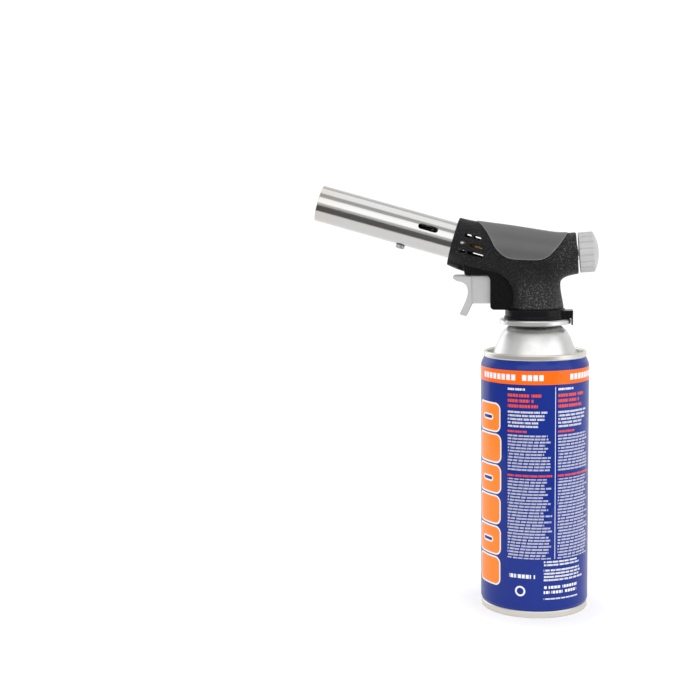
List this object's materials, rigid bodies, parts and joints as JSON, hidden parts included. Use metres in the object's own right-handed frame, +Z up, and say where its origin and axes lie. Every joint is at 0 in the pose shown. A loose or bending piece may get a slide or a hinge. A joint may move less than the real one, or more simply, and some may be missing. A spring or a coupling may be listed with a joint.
{
  "type": "butane torch",
  "caption": "Hand-held butane torch: bayonet gas cartridge with a twist-on head, slanted burner tube, piezo trigger and ribbed gas valve knob.",
  "frame": {"origin": "centre of the cartridge's base, on the surface that it stands on", "axes": "+Z up along the cartridge's axis, -X the way the flame leaves, +X the knob side; the head is symmetric about Y = 0 apart from its screws, which enter from +Y"},
  "size_m": [0.1732, 0.066, 0.2613],
  "materials": {
    "can_print": "gloss print",
    "tinplate": "satin",
    "housing_black": "fine moulded texture",
    "ring_black": "semi-gloss",
    "cover_grey": "fine moulded texture",
    "control_grey": "satin",
    "tube_steel": "polished along the tube",
    "plated_steel": "zinc plated",
    "spring_steel": "drawn wire",
    "brass": "machined",
    "rubber": "matt",
    "pale_plastic": "satin",
    "ceramic": "glazed",
    "piezo_plastic": "satin",
    "cable_cover": "matt"
  },
  "bodies": {
    "cartridge": {"cartridge_body": "can_print", "cartridge_bottom": "tinplate", "cartridge_top": "tinplate", "cartridge_collar": "tinplate", "cartridge_valve_cup": "tinplate", "cartridge_valve_housing": "pale_plastic", "cartridge_valve_gasket": "rubber", "cartridge_valve_spring": "spring_steel", "cartridge_vapour_tube": "pale_plastic"},
    "can_stem": {"cartridge_valve_stem": "pale_plastic"},
    "head": {"housing_left": "housing_black", "housing_right": "housing_black", "housing_screws": "plated_steel", "top_cover": "cover_grey", "base_ring": "ring_black", "bayonet_insert": "plated_steel", "inlet_nozzle": "brass", "inlet_gasket": "rubber", "inlet_filter": "brass", "valve_block": "brass", "gland_nut": "brass", "gland_o_ring": "rubber", "spindle_bush": "ring_black", "gas_pipe": "brass", "jet_holder": "brass", "gas_jet": "brass", "mixing_tube": "tube_steel", "support_ring": "plated_steel", "burner_head": "brass", "flame_tube": "tube_steel", "tube_ring": "plated_steel", "burner_screw": "plated_steel", "electrode_insulator": "ceramic", "electrode_wire": "spring_steel", "ignition_cable": "cable_cover", "piezo_body": "piezo_plastic", "trigger_spring": "spring_steel"},
    "trigger": {"trigger": "control_grey", "piezo_plunger": "pale_plastic"},
    "needle": {"valve_needle": "plated_steel"},
    "knob": {"knob": "control_grey", "valve_spindle": "plated_steel"}
  },
  "joints": [
    {"name": "head_twist", "type": "hinge", "parent": "cartridge", "child": "head", "pos_m": [0, 0, 0.179], "axis": [0, 0, 1], "range_deg": [0, 45]},
    {"name": "can_stem_press", "type": "slide", "parent": "cartridge", "child": "can_stem", "axis": [0, 0, -1], "range_m": [0, 0.0008], "stiffness_N_per_m": 500, "springref_m": -0.001, "deforming": ["cartridge_valve_spring"]},
    {"name": "trigger_pull", "type": "slide", "parent": "head", "child": "trigger", "axis": [1, 0, 0], "range_m": [0, 0.007], "stiffness_N_per_m": 800, "springref_m": -0.004, "deforming": ["trigger_spring"]},
    {"name": "needle_lift", "type": "slide", "parent": "head", "child": "needle", "axis": [0.9971, 0, 0.0767], "range_m": [0, 0.0012]},
    {"name": "knob_turn", "type": "hinge", "parent": "needle", "child": "knob", "pos_m": [0, 0, 0.217], "axis": [0.9971, 0, 0.0767], "range_deg": [0, 540]}
  ],
  "couplings": [
    {"joint": "knob_turn", "follows": "needle_lift", "rad_per_m": 7854}
  ]
}
